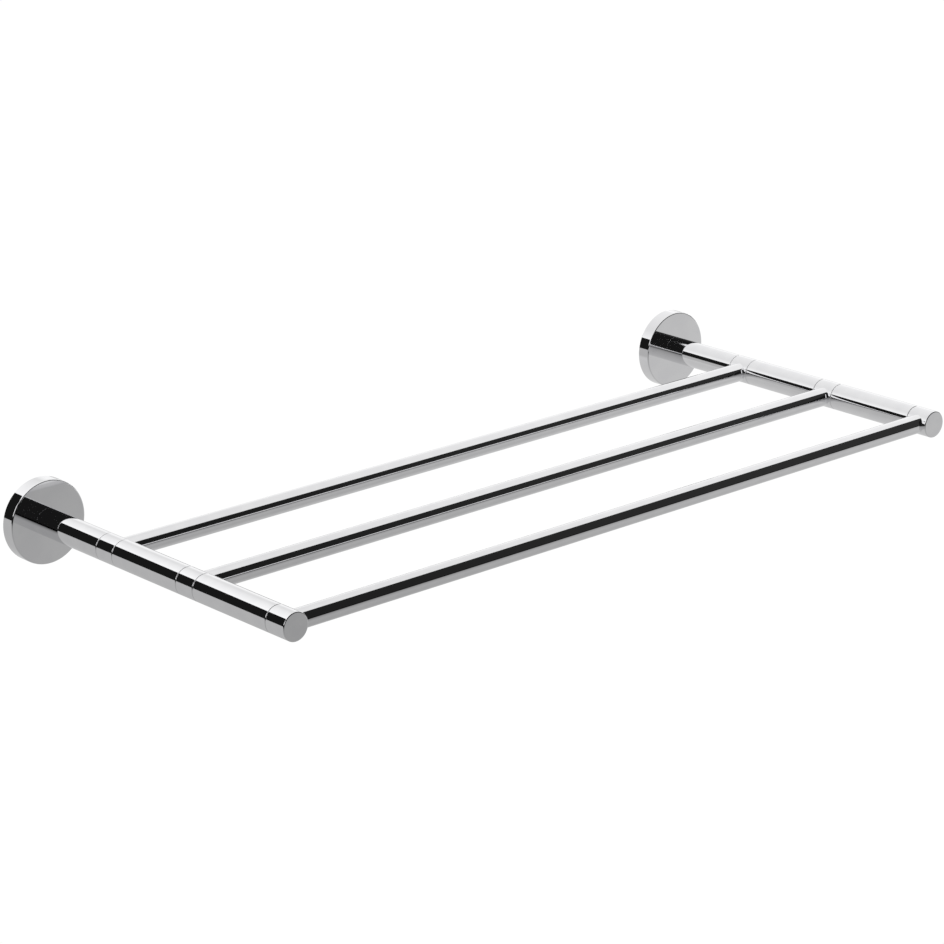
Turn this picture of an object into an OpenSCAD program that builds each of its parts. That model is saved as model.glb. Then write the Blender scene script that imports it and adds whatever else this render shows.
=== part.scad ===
// Three-rail towel rack for a bathroom wall: two round arms on round roses, joined by three rails.
// Frame: X runs along the rails, the wall is the plane Y = 0 and the rack stands out towards -Y,
// Z is up. The origin lies on the wall, midway between the two roses, level with the arms.

/* [Rack] */
// Distance between the two arm axes
arm_spacing = 600; // [300:10:900]
// How far the end faces stand out from the wall
arm_reach = 281; // [260:1:320]
// Distance from the wall to the rear rail's axis
rear_rail_at = 89; // [80:1:110]
// Distance from the wall to the middle rail's axis
middle_rail_at = 177.5; // [150:0.5:190]

/* [Arms] */
// Outer diameter of the arms
arm_d = 20; // [20:0.5:26]
// Wall thickness of the arm tubes
arm_wall = 2; // [1.5:0.1:2.5]
// Length of each collar that takes a rail
collar_len = 18; // [18:0.5:24]
// Chamfer on each outer edge where two arm pieces meet
seam_chamfer = 0.3; // [0.1:0.05:0.5]
// Radius of the rounded edge of the end faces
end_round = 0.6; // [0.3:0.1:1.5]
// Diameter of the tie rod that pulls an arm together
tie_rod_d = 6; // [5:0.5:6]

/* [Rails] */
// Outer diameter of the rails
rail_d = 14; // [12:0.5:14]
// Wall thickness of the rail tubes
rail_wall = 1.5; // [1:0.1:2]
// Length of the plug body inside each rail end
plug_len = 15; // [10:1:25]

/* [Wall fixing] */
// Outer diameter of a rose
rose_d = 60; // [58:0.5:70]
// How far a rose stands out from the wall
rose_depth = 10.5; // [10:0.5:14]
// Thickness of the rose's rim
rose_rim = 2.5; // [2.5:0.1:3]
// Thickness of the rose's front
rose_front = 2.5; // [2:0.1:3]
// Radius of the rounded front edge of a rose
rose_round = 0.8; // [0.3:0.1:1.5]
// Thickness of a wall plate
plate_t = 5; // [4.8:0.1:6]
// Distance between the two screw holes of a wall plate
screw_spacing = 36; // [34:0.5:38]
// Diameter of the screw holes in a wall plate
screw_hole_d = 5.2; // [4:0.1:5.5]
// Diameter of the grub screw that locks a rose to its plate
grub_d = 4; // [3:0.5:4]

/* [Hidden] */
$fn = 96;
arm_r = arm_d / 2;
rail_r = rail_d / 2;
rose_r = rose_d / 2;
tie_rod_r = tie_rod_d / 2;
fit_gap = 0.05;
cut_over = 1;
// The front rail lies one arm radius behind the end face
front_rail_at = arm_reach - arm_r;
// The end fitting starts slightly nearer its rail's axis than a collar does
front_seam_shift = 0.5;
front_piece_at = front_rail_at - collar_len / 2 + front_seam_shift;
// Spigots on the collars centre the tubes between them
spigot_r = arm_r - arm_wall - fit_gap;
spigot_len = 6;
rod_clearance = 0.3;
rod_clearance_r = tie_rod_r + rod_clearance;
rod_thread_r = tie_rod_r + fit_gap;
rod_start = 1;
// Solid metal between the blind thread and the end face, and the gap past the rod's end
end_wall = 7;
rod_end_gap = 1;
thread_end = arm_reach - end_wall;
rod_end = thread_end - rod_end_gap;
// Each rail plug has a short spigot in a socket in the collar's inner side
plug_spigot_r = 4;
socket_floor = 5;
socket_end_gap = 0.2;
plug_r = rail_r - rail_wall - fit_gap;
// Washer and nut inside the rose
washer_r = 9;
washer_t = 1.6;
nut_across_corners = 11.5;
nut_t = 5;
washer_at = rose_depth - rose_front - washer_t;
nut_at = washer_at - nut_t;
plate_gap = 0.4;
plate_r = rose_r - rose_rim - plate_gap;
plate_hole_r = 11;
countersink_r = 4.8;
countersink_depth = 2.2;
grub_r = grub_d / 2;
grub_len = 4.4;
grub_at = plate_t / 2;
// The grub screw ends just inside the rim, and its tip sits in a clear notch in the plate
grub_inset = 0.3;
grub_gap = 0.2;
grub_tip = rose_r - grub_inset - grub_len;
hex_key_across_corners = 2.3;
hex_key_depth = 2;
round_steps = 6;

// Helpers: an arm's own frame has the arm's axis at X = 0

// Puts a piece of the left arm in its place
module on_left() {
    translate([-arm_spacing / 2, 0, 0]) children();
}

// Puts the mirror image of a left piece on the right arm
module on_right() {
    mirror([1, 0, 0]) on_left() children();
}

// Turns a shape that stands on Z so that it stands out from the wall, at a distance from it
module from_wall(at = 0) {
    translate([0, -at, 0]) rotate([90, 0, 0]) children();
}

// Solid rod along the arm between two distances from the wall
module arm_rod(r, from, to) {
    from_wall(from) cylinder(r = r, h = to - from);
}

// Solid rod along the rails, at a distance from the wall, between two X positions
module rail_rod(r, at, from, to) {
    translate([from, -at, 0]) rotate([0, 90, 0]) cylinder(r = r, h = to - from);
}

// Points of a quarter round that ends an outline at radius r and height h
function quarter_round(r, h, e) = [
    for (i = [0 : round_steps])
        let (a = 90 * i / round_steps)
        [r - e + e * cos(a), h - e + e * sin(a)]
];

// Rod along the arm with both outer edges chamfered, so that neighbours meet at a fine groove
module chamfered_rod(from, to) {
    c = seam_chamfer;
    length = to - from;
    from_wall(from) rotate_extrude()
        polygon([
            [0, 0], [arm_r - c, 0], [arm_r, c],
            [arm_r, length - c], [arm_r - c, length], [0, length]
        ]);
}

// Hollow tube between two arm pieces
module arm_tube(from, to) {
    color("silver") difference() {
        chamfered_rod(from, to);
        arm_rod(arm_r - arm_wall, from - cut_over, to + cut_over);
    }
}

// Socket for a rail plug in the inner side of a collar
module rail_socket(at) {
    rail_rod(plug_spigot_r + fit_gap, at, socket_floor, arm_r + cut_over);
}

// Solid collar that joins two arm tubes and takes the end of a rail
module collar(at) {
    from = at - collar_len / 2;
    to = at + collar_len / 2;
    color("gainsboro") difference() {
        union() {
            chamfered_rod(from, to);
            arm_rod(spigot_r, from - spigot_len, to + spigot_len);
        }
        arm_rod(rod_clearance_r, from - spigot_len - cut_over, to + spigot_len + cut_over);
        rail_socket(at);
    }
}

// Front piece of an arm, closed by a flat end face, with the blind thread for the tie rod
module end_fitting() {
    c = seam_chamfer;
    length = arm_reach - front_piece_at;
    color("gainsboro") difference() {
        union() {
            from_wall(front_piece_at) rotate_extrude()
                polygon(concat(
                    [[0, 0], [arm_r - c, 0], [arm_r, c]],
                    quarter_round(arm_r, length, end_round),
                    [[0, length]]
                ));
            arm_rod(spigot_r, front_piece_at - spigot_len, front_piece_at + cut_over);
        }
        arm_rod(rod_thread_r, front_piece_at - spigot_len - cut_over, thread_end);
        rail_socket(front_rail_at);
    }
}

// Cup-shaped cover rose with a spigot that centres the rear arm tube
module rose() {
    inner_r = rose_r - rose_rim;
    color("silver") difference() {
        from_wall() rotate_extrude()
            polygon(concat(
                [[inner_r, 0], [rose_r, 0]],
                quarter_round(rose_r, rose_depth, rose_round),
                [
                    [spigot_r, rose_depth],
                    [spigot_r, rose_depth + spigot_len],
                    [rod_clearance_r, rose_depth + spigot_len],
                    [rod_clearance_r, rose_depth - rose_front],
                    [inner_r, rose_depth - rose_front]
                ]
            ));
        translate([0, -grub_at, -rose_r - cut_over])
            cylinder(r = grub_r + fit_gap, h = rose_rim + 2 * cut_over);
    }
}

// Flat steel plate that is screwed to the wall inside the rose
module wall_plate() {
    color("lightsteelblue") difference() {
        arm_rod(plate_r, 0, plate_t);
        arm_rod(plate_hole_r, -cut_over, plate_t + cut_over);
        for (side = [-1, 1]) translate([0, 0, side * screw_spacing / 2]) {
            arm_rod(screw_hole_d / 2, -cut_over, plate_t + cut_over);
            from_wall(plate_t - countersink_depth)
                cylinder(r1 = screw_hole_d / 2, r2 = countersink_r, h = countersink_depth);
        }
        translate([0, -grub_at, -plate_r - cut_over])
            cylinder(r = grub_r + grub_gap, h = plate_r + cut_over - grub_tip + grub_gap);
    }
}

// Hex-socket grub screw in the underside of the rose
module grub_screw() {
    color("dimgray") difference() {
        translate([0, -grub_at, -grub_tip - grub_len]) cylinder(r = grub_r, h = grub_len);
        translate([0, -grub_at, -grub_tip - grub_len - cut_over])
            cylinder(d = hex_key_across_corners, h = hex_key_depth + cut_over, $fn = 6);
    }
}

// Washer under the nut, against the inner face of the rose
module rod_washer() {
    color("lightgray") difference() {
        arm_rod(washer_r, washer_at, washer_at + washer_t);
        arm_rod(rod_clearance_r, washer_at - cut_over, washer_at + washer_t + cut_over);
    }
}

// Hexagon nut that pulls the arm against the rose
module rod_nut() {
    color("darkgray") difference() {
        from_wall(nut_at) cylinder(d = nut_across_corners, h = nut_t, $fn = 6);
        arm_rod(rod_thread_r, nut_at - cut_over, nut_at + nut_t + cut_over);
    }
}

// Threaded rod through the whole arm, drawn at its outer diameter
module tie_rod() {
    color("gray") arm_rod(tie_rod_r, rod_start, rod_end);
}

// Rail tube whose ends are cut to a saddle that fits the round arm
module rail(at) {
    // Each end reaches past the arm's side before the saddle is cut
    half = arm_spacing / 2 - arm_r / 2;
    color("whitesmoke") difference() {
        rail_rod(rail_r, at, -half, half);
        rail_rod(rail_r - rail_wall, at, -half - cut_over, half + cut_over);
        for (side = [-1, 1]) translate([side * arm_spacing / 2, 0, 0])
            arm_rod(arm_r + fit_gap, at - arm_d, at + arm_d);
    }
}

// Plug inside a rail end, in the arm's own frame, with its spigot in the collar's socket
module rail_plug(at) {
    body_from = arm_r + fit_gap;
    color("darkkhaki") {
        rail_rod(plug_r, at, body_from, body_from + plug_len);
        rail_rod(plug_spigot_r, at, socket_floor + socket_end_gap, body_from + cut_over);
    }
}

// Distances of the arm pieces from the wall
rear_collar_from = rear_rail_at - collar_len / 2;
rear_collar_to = rear_rail_at + collar_len / 2;
middle_collar_from = middle_rail_at - collar_len / 2;
middle_collar_to = middle_rail_at + collar_len / 2;

module rear_arm_tube() {
    arm_tube(rose_depth, rear_collar_from);
}

module middle_arm_tube() {
    arm_tube(rear_collar_to, middle_collar_from);
}

module front_arm_tube() {
    arm_tube(middle_collar_to, front_piece_at);
}

on_left() wall_plate();  // left_wall_plate
on_left() rose();  // left_rose
on_left() grub_screw();  // left_grub_screw
on_left() rod_washer();  // left_rod_washer
on_left() rod_nut();  // left_rod_nut
on_left() tie_rod();  // left_tie_rod
on_left() rear_arm_tube();  // left_rear_arm_tube
on_left() collar(rear_rail_at);  // left_rear_collar
on_left() middle_arm_tube();  // left_middle_arm_tube
on_left() collar(middle_rail_at);  // left_middle_collar
on_left() front_arm_tube();  // left_front_arm_tube
on_left() end_fitting();  // left_end_fitting

on_right() wall_plate();  // right_wall_plate
on_right() rose();  // right_rose
on_right() grub_screw();  // right_grub_screw
on_right() rod_washer();  // right_rod_washer
on_right() rod_nut();  // right_rod_nut
on_right() tie_rod();  // right_tie_rod
on_right() rear_arm_tube();  // right_rear_arm_tube
on_right() collar(rear_rail_at);  // right_rear_collar
on_right() middle_arm_tube();  // right_middle_arm_tube
on_right() collar(middle_rail_at);  // right_middle_collar
on_right() front_arm_tube();  // right_front_arm_tube
on_right() end_fitting();  // right_end_fitting

rail(rear_rail_at);  // rear_rail
rail(middle_rail_at);  // middle_rail
rail(front_rail_at);  // front_rail

on_left() rail_plug(rear_rail_at);  // left_rear_rail_plug
on_left() rail_plug(middle_rail_at);  // left_middle_rail_plug
on_left() rail_plug(front_rail_at);  // left_front_rail_plug
on_right() rail_plug(rear_rail_at);  // right_rear_rail_plug
on_right() rail_plug(middle_rail_at);  // right_middle_rail_plug
on_right() rail_plug(front_rail_at);  // right_front_rail_plug
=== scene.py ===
"""Chrome towel rack: three rails between two round arms on round wall roses.

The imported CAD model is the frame. The roses, arm tubes, collars, end fittings and rails are rebuilt
here as fine meshes with rounded edges, and the hidden hardware keeps its CAD shape.
Lengths are in metres. X runs along the rails, the wall is Y = 0, the rack stands out towards -Y.
"""

import math

import bmesh
import bpy
from mathutils import Matrix, Vector


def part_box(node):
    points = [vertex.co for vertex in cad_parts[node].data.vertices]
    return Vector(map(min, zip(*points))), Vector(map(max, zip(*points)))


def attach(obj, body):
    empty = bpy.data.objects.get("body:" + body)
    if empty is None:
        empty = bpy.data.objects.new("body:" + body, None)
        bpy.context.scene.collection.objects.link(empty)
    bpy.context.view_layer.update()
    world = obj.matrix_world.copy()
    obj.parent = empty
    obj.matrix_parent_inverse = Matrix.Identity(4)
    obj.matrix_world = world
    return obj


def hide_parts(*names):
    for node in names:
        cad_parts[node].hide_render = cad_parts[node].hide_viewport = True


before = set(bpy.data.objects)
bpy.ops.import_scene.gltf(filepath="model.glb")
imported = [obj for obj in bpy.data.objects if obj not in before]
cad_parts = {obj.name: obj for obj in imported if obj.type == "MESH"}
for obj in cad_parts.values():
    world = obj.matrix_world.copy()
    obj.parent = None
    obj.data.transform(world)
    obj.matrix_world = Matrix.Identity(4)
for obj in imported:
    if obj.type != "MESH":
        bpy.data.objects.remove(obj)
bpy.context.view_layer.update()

MM = 0.001

# ---------------------------------------------------------------- sizes taken from the frame

SIDES = {"left": -1, "right": 1}
RAILS = ("rear", "middle", "front")


def corners(node):
    """Lowest and highest corner of a CAD node as vectors."""
    low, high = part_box(node)
    return Vector(low), Vector(high)


def centre(node):
    low, high = corners(node)
    return (low + high) / 2


def reach(node):
    """Nearest and furthest distance of a node from the wall."""
    low, high = corners(node)
    return -high.y, -low.y


def half_height(node):
    """Half of a node's height, which is its radius where it is round."""
    low, high = corners(node)
    return (high.z - low.z) / 2


ARM_X = centre("right_rear_arm_tube").x
ARM_R = half_height("right_rear_arm_tube")
RAIL_R = half_height("front_rail")
ROSE_R = half_height("right_rose")
ROSE_DEPTH = reach("right_rear_arm_tube")[0]
RAIL_AT = {name: -centre(name + "_rail").y for name in RAILS}
GRUB_AT = -centre("right_grub_screw").y

# ---------------------------------------------------------------- sizes that no node's box shows

FIT_GAP = 0.05 * MM
TUBE_WALL = 2 * MM
RAIL_WALL = 1.5 * MM
ROSE_WALL = 2.5 * MM
SPIGOT_LEN = 6 * MM
SPIGOT_R = ARM_R - TUBE_WALL - FIT_GAP
ROD_HOLE_R = 3.3 * MM
ROD_THREAD_R = 3 * MM + FIT_GAP
END_WALL = 7 * MM         # solid metal between the rod's thread and the end face
SOCKET_R = 4 * MM + FIT_GAP
SOCKET_FLOOR = 5 * MM     # from the arm's axis
GRUB_HOLE_R = 2 * MM + FIT_GAP
CUT_OVER = 1 * MM         # how far a drill reaches past the metal
# Rounded edges: how far each reaches along the radius and along the arm
SEAM_EDGE = (0.9 * MM, 0.6 * MM)
SEAT_EDGE = (0.02 * MM, 0.02 * MM)
END_EDGE = (0.7 * MM, 0.7 * MM)
ROSE_EDGE = (0.9 * MM, 0.9 * MM)
ROSE_BACK_EDGE = (0.3 * MM, 0.3 * MM)
SADDLE_GAP = 0.05 * MM
SADDLE_CHAMFER = 0.3 * MM
# Support loops: beside each rounded edge, round the arm's seat on the rose, and behind each saddle
HOLD = 0.05 * MM
SEAT_LOOP = 2 * MM
SADDLE_LOOP = 20 * MM

ARM_STEPS = 192
ROSE_STEPS = 288
RAIL_STEPS = 160
DRILL_STEPS = 64
ARC_STEPS = 8
SHARP_ANGLE = math.radians(32)

# ---------------------------------------------------------------- materials


class Nodes:
    """Small helper that builds a node tree from left to right."""

    def __init__(self, tree):
        self.tree = tree
        tree.nodes.clear()

    def add(self, kind, inputs=None, **settings):
        node = self.tree.nodes.new(kind)
        for key, value in settings.items():
            setattr(node, key, value)
        for key, value in (inputs or {}).items():
            if isinstance(value, bpy.types.NodeSocket):
                self.tree.links.new(value, node.inputs[key])
            else:
                node.inputs[key].default_value = value
        return node

    def math(self, operation, a, b=0.0):
        return self.add("ShaderNodeMath", {0: a, 1: b}, operation=operation).outputs[0]

    def product(self, a, b):
        return self.math("MULTIPLY", a, b)

    def total(self, first, *others):
        for other in others:
            first = self.math("ADD", first, other)
        return first

    def ramp(self, value, low, high, to_low=0.0, to_high=1.0):
        """Maps value smoothly from low..high to to_low..to_high, and holds it outside."""
        inputs = {"Value": value, "From Min": low, "From Max": high, "To Min": to_low, "To Max": to_high}
        return self.add("ShaderNodeMapRange", inputs, interpolation_type="SMOOTHSTEP").outputs[0]

    def slope(self, value, start, rate):
        """Zero up to start and then a straight slope, on the side where rate makes it positive."""
        past = self.math("SUBTRACT", value, start)
        return self.math("MAXIMUM", self.product(past, rate), 0.0)

    def noise(self, vector, scale, detail, roughness=0.5):
        inputs = {"Vector": vector, "Scale": scale, "Detail": detail, "Roughness": roughness}
        return self.add("ShaderNodeTexNoise", inputs).outputs[0]

    def place(self, scale=(1, 1, 1)):
        """Object coordinates in metres, stretched by scale."""
        coords = self.add("ShaderNodeTexCoord").outputs["Object"]
        return self.add("ShaderNodeMapping", {"Vector": coords, "Scale": scale}).outputs[0]

    def split(self, vector):
        """The x, y and z of a vector."""
        return self.add("ShaderNodeSeparateXYZ", {0: vector}).outputs

    def bump(self, depth, height, **under):
        """Surface raised by up to depth metres, on top of the bump given as Normal, if any."""
        inputs = {"Strength": 1.0, "Distance": depth, "Height": height, **under}
        return self.add("ShaderNodeBump", inputs).outputs[0]

    def mix_colour(self, factor, a, b):
        node = self.add("ShaderNodeMix", data_type="RGBA")
        for socket, value in ((node.inputs[0], factor), (node.inputs[6], a), (node.inputs[7], b)):
            if isinstance(value, bpy.types.NodeSocket):
                self.tree.links.new(value, socket)
            else:
                socket.default_value = value
        return node.outputs[2]


def new_material(name):
    material = bpy.data.materials.new(name)
    material.use_nodes = True
    return material, Nodes(material.node_tree)


def metal(name, tones, rough, grain, ripple, stretch=(1, 1, 1)):
    """Metal whose tone, gloss and surface vary.

    tones are the darkest and lightest colour, and rough is the least and most roughness. grain is fine
    and ripple is broad: each is a depth in metres and a scale. stretch draws the grain out.
    """
    material, n = new_material(name)
    dark, light = tones
    grain_depth, grain_scale = grain
    ripple_depth, ripple_scale = ripple
    place = n.place()
    broad = n.noise(place, ripple_scale, 1.0)
    fine = n.noise(n.place(stretch), grain_scale, 3.0, 0.6)
    clouds = n.noise(place, ripple_scale * 2.5, 3.0, 0.55)
    # Noise lies mostly between 0.35 and 0.65, and the product of two noises between 0.12 and 0.42
    colour = n.mix_colour(n.ramp(clouds, 0.35, 0.65), (*dark, 1), (*light, 1))
    gloss = n.ramp(n.product(clouds, fine), 0.12, 0.42, *rough)
    surface = n.bump(grain_depth, fine, Normal=n.bump(ripple_depth, broad))
    shader = n.add("ShaderNodeBsdfPrincipled", {
        "Base Color": colour, "Roughness": gloss, "Normal": surface, "Metallic": 1.0})
    n.add("ShaderNodeOutputMaterial", {"Surface": shader.outputs[0]})
    return material


MICRON = 0.001 * MM
CHROME_TONES = ((0.90, 0.90, 0.915), (0.93, 0.93, 0.94))

# Polished chrome on drawn tube, on turned collars and on pressed roses
chrome_tube = metal(
    "chrome_tube", CHROME_TONES, rough=(0.015, 0.045), grain=(0.4 * MICRON, 900),
    ripple=(4 * MICRON, 40), stretch=(0.15, 0.15, 1))
chrome_turned = metal(
    "chrome_turned", CHROME_TONES, rough=(0.012, 0.035), grain=(0.3 * MICRON, 1200),
    ripple=(2 * MICRON, 55), stretch=(1, 6, 1))
chrome_pressed = metal(
    "chrome_pressed", CHROME_TONES, rough=(0.02, 0.05), grain=(0.4 * MICRON, 700),
    ripple=(6 * MICRON, 25))
zinc_steel = metal(
    "zinc_steel", ((0.42, 0.43, 0.45), (0.66, 0.67, 0.68)), rough=(0.22, 0.42),
    grain=(6 * MICRON, 500), ripple=(10 * MICRON, 60))
black_steel = metal(
    "black_steel", ((0.03, 0.03, 0.033), (0.08, 0.08, 0.085)), rough=(0.28, 0.45),
    grain=(6 * MICRON, 900), ripple=(10 * MICRON, 90))
turned_brass = metal(
    "turned_brass", ((0.56, 0.42, 0.18), (0.78, 0.62, 0.30)), rough=(0.18, 0.34),
    grain=(6 * MICRON, 700), ripple=(10 * MICRON, 60), stretch=(8, 1, 1))

# ---------------------------------------------------------------- mesh helpers


def arc(centre_r, centre_d, edge, start, end):
    """Part of an ellipse in the (radius, distance) plane, between two angles in degrees."""
    points = []
    for i in range(ARC_STEPS + 1):
        a = math.radians(start + (end - start) * i / ARC_STEPS)
        points.append((centre_r + edge[0] * math.cos(a), centre_d + edge[1] * math.sin(a)))
    return points


def near_edge(r, d, edge):
    """Rounded outer edge at the wall end of a piece, walking outwards and then away from the wall."""
    across, along = edge
    start = [(r - across - HOLD, d)]
    return start + arc(r - across, d + along, edge, -90, 0) + [(r, d + along + HOLD)]


def far_edge(r, d, edge):
    """Rounded outer edge at the room end of a piece, walking away from the wall and then inwards."""
    across, along = edge
    start = [(r, d - along - HOLD)]
    return start + arc(r - across, d - along, edge, 0, 90) + [(r - across - HOLD, d)]


def finish_mesh(name, bm, material):
    """Makes a piece from a bmesh, smooth where its faces meet at less than SHARP_ANGLE."""
    bmesh.ops.recalc_face_normals(bm, faces=bm.faces)
    mesh = bpy.data.meshes.new(name)
    bm.to_mesh(mesh)
    bm.free()
    piece = bpy.data.objects.new(name, mesh)
    bpy.context.collection.objects.link(piece)
    mesh.shade_smooth()
    mesh.set_sharp_from_angle(angle=SHARP_ANGLE)
    mesh.materials.append(material)
    return piece


def join_rings(bm, rings):
    """Closes a list of rings of vertices into a skin; a ring of one vertex is a pole."""
    count = len(rings)
    for k in range(count):
        a, b = rings[k], rings[(k + 1) % count]
        if len(a) == 1 and len(b) == 1:
            continue
        steps = max(len(a), len(b))
        for i in range(steps):
            j = (i + 1) % steps
            if len(a) == 1:
                bm.faces.new((a[0], b[j], b[i]))
            elif len(b) == 1:
                bm.faces.new((a[i], a[j], b[0]))
            else:
                bm.faces.new((a[i], a[j], b[j], b[i]))


def turned_piece(name, outline, x, material, steps=ARM_STEPS):
    """Turns a closed outline of (radius, distance from the wall) points round the arm axis at X = x."""
    bm = bmesh.new()
    rings = []
    for r, d in outline:
        if r == 0:
            rings.append([bm.verts.new((x, -d, 0))])
            continue
        ring = []
        for i in range(steps):
            a = 2 * math.pi * i / steps
            ring.append(bm.verts.new((x + r * math.cos(a), -d, r * math.sin(a))))
        rings.append(ring)
    join_rings(bm, rings)
    return finish_mesh(name, bm, material)


def drill(piece, radius, start, end):
    """Cuts a round hole between two points out of a piece."""
    along = Vector(end) - Vector(start)
    turn = along.to_track_quat("Z", "Y").to_matrix().to_4x4()
    place = Matrix.Translation((Vector(start) + Vector(end)) / 2) @ turn
    bm = bmesh.new()
    bmesh.ops.create_cone(
        bm, cap_ends=True, segments=DRILL_STEPS, radius1=radius, radius2=radius,
        depth=along.length, matrix=place)
    mesh = bpy.data.meshes.new("drill")
    bm.to_mesh(mesh)
    bm.free()
    cutter = bpy.data.objects.new("drill", mesh)
    bpy.context.collection.objects.link(cutter)
    cut = piece.modifiers.new("hole", "BOOLEAN")
    cut.object = cutter
    cut.solver = "EXACT"
    cut.operation = "DIFFERENCE"
    bpy.context.view_layer.update()
    evaluated = piece.evaluated_get(bpy.context.evaluated_depsgraph_get())
    drilled = bpy.data.meshes.new_from_object(evaluated)
    piece.modifiers.clear()
    piece.data = drilled
    bpy.data.objects.remove(cutter)
    drilled.shade_smooth()
    drilled.set_sharp_from_angle(angle=SHARP_ANGLE)


def stands_for(piece, node):
    """Puts a chrome piece in the place of its CAD node."""
    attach(piece, "root")
    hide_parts(node)


# ---------------------------------------------------------------- the visible pieces


def arm_tube(node, x):
    """Arm tube with rounded ends, except where it sits square on the rose."""
    start, end = reach(node)
    bore = ARM_R - TUBE_WALL
    start_edge = SEAT_EDGE if start == ROSE_DEPTH else SEAM_EDGE
    outline = near_edge(ARM_R, start, start_edge) + far_edge(ARM_R, end, SEAM_EDGE)
    outline += [(bore, end), (bore, end - HOLD), (bore, start + HOLD), (bore, start)]
    stands_for(turned_piece(node + "_skin", outline, x, chrome_tube), node)


def drill_socket(piece, x, at):
    """Socket in the inner side of a collar or end fitting for the spigot of a rail plug."""
    inwards = -1 if x > 0 else 1
    floor = x + inwards * SOCKET_FLOOR
    mouth = x + inwards * (ARM_R + CUT_OVER)
    drill(piece, SOCKET_R, (floor, -at, 0), (mouth, -at, 0))


def collar(node, x, at):
    """Collar with a spigot at each end for the arm tubes, and the socket of a rail at distance at."""
    start, end = reach(node)
    start += SPIGOT_LEN
    end -= SPIGOT_LEN
    outline = [(SPIGOT_R, start - SPIGOT_LEN), (SPIGOT_R, start)]
    outline += near_edge(ARM_R, start, SEAM_EDGE) + far_edge(ARM_R, end, SEAM_EDGE)
    outline += [(SPIGOT_R, end), (SPIGOT_R, end + SPIGOT_LEN)]
    outline += [(ROD_HOLE_R, end + SPIGOT_LEN), (ROD_HOLE_R, start - SPIGOT_LEN)]
    piece = turned_piece(node + "_skin", outline, x, chrome_turned)
    drill_socket(piece, x, at)
    stands_for(piece, node)


def end_fitting(node, x, at):
    """Front end of an arm: flat end face, spigot for the arm tube, blind thread for the tie rod."""
    start, end = reach(node)
    start += SPIGOT_LEN
    thread_end = end - END_WALL
    outline = [(SPIGOT_R, start - SPIGOT_LEN), (SPIGOT_R, start)]
    outline += near_edge(ARM_R, start, SEAM_EDGE) + far_edge(ARM_R, end, END_EDGE)
    outline += [(ARM_R / 2, end), (0, end), (0, thread_end)]
    outline += [(ROD_THREAD_R, thread_end), (ROD_THREAD_R, start - SPIGOT_LEN)]
    piece = turned_piece(node + "_skin", outline, x, chrome_turned)
    drill_socket(piece, x, at)
    stands_for(piece, node)


def rose(node, x):
    """Cup-shaped rose with rounded rim edges, a spigot for the arm and the grub screw's hole."""
    inner = ROSE_R - ROSE_WALL
    front = ROSE_DEPTH - ROSE_WALL
    outline = near_edge(ROSE_R, 0, ROSE_BACK_EDGE) + far_edge(ROSE_R, ROSE_DEPTH, ROSE_EDGE)
    spigot_end = ROSE_DEPTH + SPIGOT_LEN
    outline += [(ARM_R + SEAT_LOOP, ROSE_DEPTH), (SPIGOT_R, ROSE_DEPTH), (SPIGOT_R, spigot_end)]
    outline += [(ROD_HOLE_R, spigot_end), (ROD_HOLE_R, front)]
    outline += [(inner - HOLD, front), (inner, front), (inner, front - HOLD), (inner, 0)]
    piece = turned_piece(node + "_skin", outline, x, chrome_pressed, ROSE_STEPS)
    drill(piece, GRUB_HOLE_R, (x, -GRUB_AT, -inner + CUT_OVER), (x, -GRUB_AT, -ROSE_R - CUT_OVER))
    stands_for(piece, node)


def rail(name):
    """Rail tube along X whose ends are cut to the saddle of the round arm, with a fine chamfer."""
    node = name + "_rail"
    at = RAIL_AT[name]
    saddle_r = ARM_R + SADDLE_GAP
    bore = RAIL_R - RAIL_WALL

    def stop(radius, a):
        """Where the saddle is, at a radius of the rail and an angle round it."""
        return ARM_X - math.sqrt(saddle_r ** 2 - (radius * math.sin(a)) ** 2)

    # Each ring: its radius, how far it lies inside the saddle, or None for mid-rail, and its side
    half = [
        (RAIL_R - SADDLE_CHAMFER, 0.0), (RAIL_R, SADDLE_CHAMFER), (RAIL_R, SADDLE_CHAMFER + HOLD),
        (RAIL_R, SADDLE_LOOP)]
    outer = [(r, inset, -1) for r, inset in half] + [(RAIL_R, None, 1)]
    outer += [(r, inset, 1) for r, inset in reversed(half)]
    inner = [(bore, 0.0, 1), (bore, SADDLE_LOOP, 1), (bore, SADDLE_LOOP, -1), (bore, 0.0, -1)]
    bm = bmesh.new()
    rings = []
    for radius, inset, side in outer + inner:
        ring = []
        for i in range(RAIL_STEPS):
            a = 2 * math.pi * i / RAIL_STEPS
            along = 0 if inset is None else side * (stop(radius, a) - inset)
            ring.append(bm.verts.new((along, -at + radius * math.cos(a), radius * math.sin(a))))
        rings.append(ring)
    join_rings(bm, rings)
    stands_for(finish_mesh(node + "_skin", bm, chrome_tube), node)


for side_name, sign in SIDES.items():
    arm_x = sign * ARM_X
    rose(side_name + "_rose", arm_x)
    for part in ("rear_arm_tube", "middle_arm_tube", "front_arm_tube"):
        arm_tube(side_name + "_" + part, arm_x)
    for part in ("rear", "middle"):
        collar(side_name + "_" + part + "_collar", arm_x, RAIL_AT[part])
    end_fitting(side_name + "_end_fitting", arm_x, RAIL_AT["front"])
for rail_name in RAILS:
    rail(rail_name)

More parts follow.
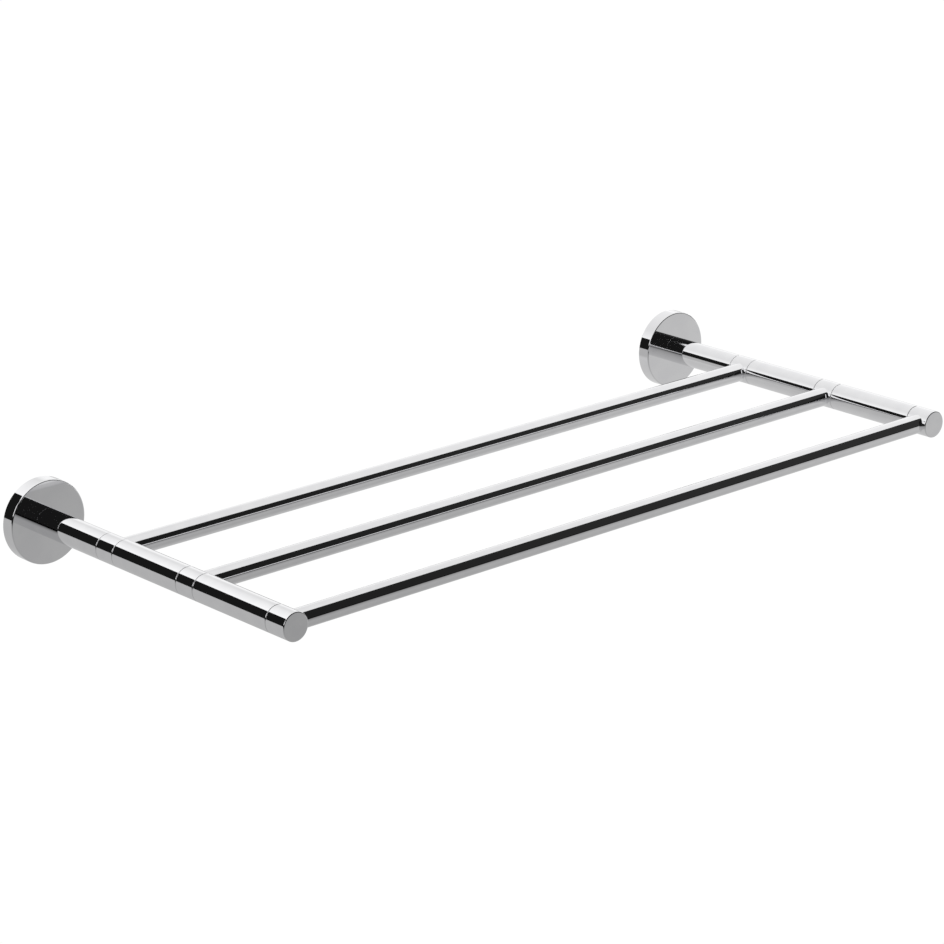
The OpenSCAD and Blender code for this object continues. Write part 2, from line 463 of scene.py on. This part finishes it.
# The hidden hardware keeps its CAD shape and takes the metal it is made of; all other nodes are chrome
HARDWARE = {
    "wall_plate": zinc_steel, "rod_washer": zinc_steel, "rod_nut": zinc_steel, "tie_rod": zinc_steel,
    "grub_screw": black_steel, "rear_rail_plug": turned_brass, "middle_rail_plug": turned_brass,
    "front_rail_plug": turned_brass}
for node_name, node_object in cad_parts.items():
    part = node_name.split("_", 1)[1]
    node_object.data.materials.clear()
    node_object.data.materials.append(HARDWARE.get(part, chrome_tube))

# ---------------------------------------------------------------- camera

CAMERA_PLACE = Vector((-1.4832, -1.8025, 0.7464))
CAMERA_AZIMUTH = math.radians(41.17)
CAMERA_DOWN = math.radians(18.558)
CAMERA_ROLL = math.radians(-0.74)
CAMERA_LENS = 126.16
CAMERA_SENSOR = 36.0
CAMERA_FAR = 200


def add_camera():
    """Camera set by its place, its direction round and below the horizon, and its roll."""
    ahead = Vector((
        math.sin(CAMERA_AZIMUTH) * math.cos(CAMERA_DOWN),
        math.cos(CAMERA_AZIMUTH) * math.cos(CAMERA_DOWN),
        -math.sin(CAMERA_DOWN)))
    level_right = ahead.cross(Vector((0, 0, 1))).normalized()
    level_up = level_right.cross(ahead)
    right = level_right * math.cos(CAMERA_ROLL) + level_up * math.sin(CAMERA_ROLL)
    up = right.cross(ahead)
    data = bpy.data.cameras.new("camera")
    data.lens = CAMERA_LENS
    data.sensor_width = CAMERA_SENSOR
    data.clip_end = CAMERA_FAR
    camera = bpy.data.objects.new("camera", data)
    turn = Matrix((right, up, -ahead)).transposed().to_4x4()
    camera.matrix_world = Matrix.Translation(CAMERA_PLACE) @ turn
    bpy.context.collection.objects.link(camera)
    bpy.context.scene.camera = camera


# ---------------------------------------------------------------- studio

# Strength of the floor and of the background behind it, just past white so that no tone is left
PAPER_WHITE = 1.02
FLOOR_Z = -1.5
FLOOR_HALF = 40
# Card below the rack, which gives the chrome its grey bands
BENCH_Z = -0.30
BENCH_HALF = 8
BENCH_LEVEL = 0.46
BENCH_MOST = 0.66
# Overhead softbox, which gives the white bands: its corners (x, y), with the left side aslant
SOFTBOX_Z = 0.40
SOFTBOX = [(-0.76, -0.36), (2.2, -0.36), (2.2, 1.2), (-0.24, 1.2)]
SOFTBOX_LEVEL = 0.80
# White of the backdrop behind the rack and of the lamp on its left
ROOM_WHITE = 0.98
# Lamp that lights what isn't mirror-bright, such as the wall plates
KEY_PLACE = (0, 0.4, 1.2)
KEY_SIZE = (2.0, 1.0)
KEY_POWER = 12


def card(name, outline, z, material):
    """Flat level card with the given (x, y) corners at height z."""
    mesh = bpy.data.meshes.new(name)
    mesh.from_pydata([(x, y, z) for x, y in outline], [], [tuple(range(len(outline)))])
    mesh.materials.append(material)
    piece = bpy.data.objects.new(name, mesh)
    bpy.context.collection.objects.link(piece)
    return piece


def only_reflected(piece):
    """For a card that chrome reflects, but that neither the camera nor other light sees."""
    piece.visible_camera = False
    piece.visible_diffuse = False
    piece.visible_shadow = False
    piece.visible_transmission = False
    piece.visible_volume_scatter = False


def square(half):
    return [(-half, -half), (half, -half), (half, half), (-half, half)]


def emission_material(name, build_strength):
    """White light whose strength is built by a function of the node helper."""
    material, n = new_material(name)
    shader = n.add("ShaderNodeEmission", {"Color": (1, 1, 1, 1), "Strength": build_strength(n)})
    n.add("ShaderNodeOutputMaterial", {"Surface": shader.outputs[0]})
    return material


def add_floor():
    """Pale floor, for the camera only."""
    material = emission_material("pale_floor", lambda n: PAPER_WHITE)
    floor = card("floor", square(FLOOR_HALF), FLOOR_Z, material)
    floor.visible_glossy = False
    floor.visible_diffuse = False


def bench_strength(n):
    """Grey of the bench: darker to the left and to the front, and it ends in the dark studio."""
    x, y = n.split(n.place())[:2]
    right_rise = n.slope(x, -0.20, 0.20)
    back_rise = n.product(n.ramp(y, 0.15, 0.70, 0.0, 0.18), n.ramp(x, -0.45, -0.15))
    near_drop = n.ramp(y, -0.30, 0.05, 0.12, 0.0)
    front_drop = n.slope(y, -0.60, -0.28)
    rise = n.total(BENCH_LEVEL, right_rise, back_rise)
    level = n.math("SUBTRACT", rise, n.total(near_drop, front_drop))
    front_end = n.ramp(y, -2.05, -1.95)
    return n.product(n.math("MINIMUM", level, BENCH_MOST), front_end)


def add_bench():
    material = emission_material("bench_light", bench_strength)
    only_reflected(card("bench", square(BENCH_HALF), BENCH_Z, material))


def softbox_strength(n):
    """Brightness of the softbox: least over the rack's middle, more towards its ends and back."""
    x, y = n.split(n.place())[:2]
    left_rise = n.slope(x, 0.05, -0.42)
    right_rise = n.slope(x, 0.10, 0.17)
    back_rise = n.ramp(y, 0.70, 0.95, 0.0, 0.08)
    return n.total(SOFTBOX_LEVEL, left_rise, right_rise, back_rise)


def add_softbox():
    material = emission_material("softbox_light", softbox_strength)
    only_reflected(card("softbox", SOFTBOX, SOFTBOX_Z, material))


def backdrop(n, x, y):
    """White backdrop behind the rack, from its middle to its right."""
    return n.product(n.ramp(y, 0.05, 0.15), n.ramp(x, -0.15, 0.05))


def left_lamp(n, x, y, z):
    """Lamp straight to the left, above the rack, which only the fine rounded edges catch."""
    sideways = n.math("ABSOLUTE", y)
    across = n.product(n.ramp(x, -0.70, -0.76), n.ramp(sideways, 0.46, 0.40))
    return n.product(across, n.ramp(z, 0.20, 0.26))


def add_room():
    """The room by direction: white to the camera, and to the chrome dark with two white patches."""
    world = bpy.data.worlds.new("studio")
    world.use_nodes = True
    bpy.context.scene.world = world
    n = Nodes(world.node_tree)
    x, y, z = n.split(n.add("ShaderNodeTexCoord").outputs["Generated"])
    patches = n.math("MAXIMUM", backdrop(n, x, y), left_lamp(n, x, y, z))
    dark = n.ramp(x, 0.50, 0.75, 0.009, 0.030)
    reflected = n.math("MAXIMUM", n.product(patches, ROOM_WHITE), dark)
    seen = n.add("ShaderNodeLightPath").outputs["Is Camera Ray"]
    mix = n.add("ShaderNodeMix", {0: seen, 2: reflected, 3: PAPER_WHITE}, data_type="FLOAT")
    background = n.add("ShaderNodeBackground", {"Color": (1, 1, 1, 1), "Strength": mix.outputs[0]})
    n.add("ShaderNodeOutputWorld", {"Surface": background.outputs[0]})


def add_soft_key():
    """Soft lamp above the rack, which the chrome doesn't reflect."""
    data = bpy.data.lights.new("soft_key", "AREA")
    data.shape = "RECTANGLE"
    data.size, data.size_y = KEY_SIZE
    data.energy = KEY_POWER
    lamp = bpy.data.objects.new("soft_key", data)
    lamp.location = KEY_PLACE
    lamp.visible_glossy = False
    bpy.context.collection.objects.link(lamp)


add_camera()
add_floor()
add_bench()
add_softbox()
add_room()
add_soft_key()
bpy.context.scene.view_settings.view_transform = "Standard"
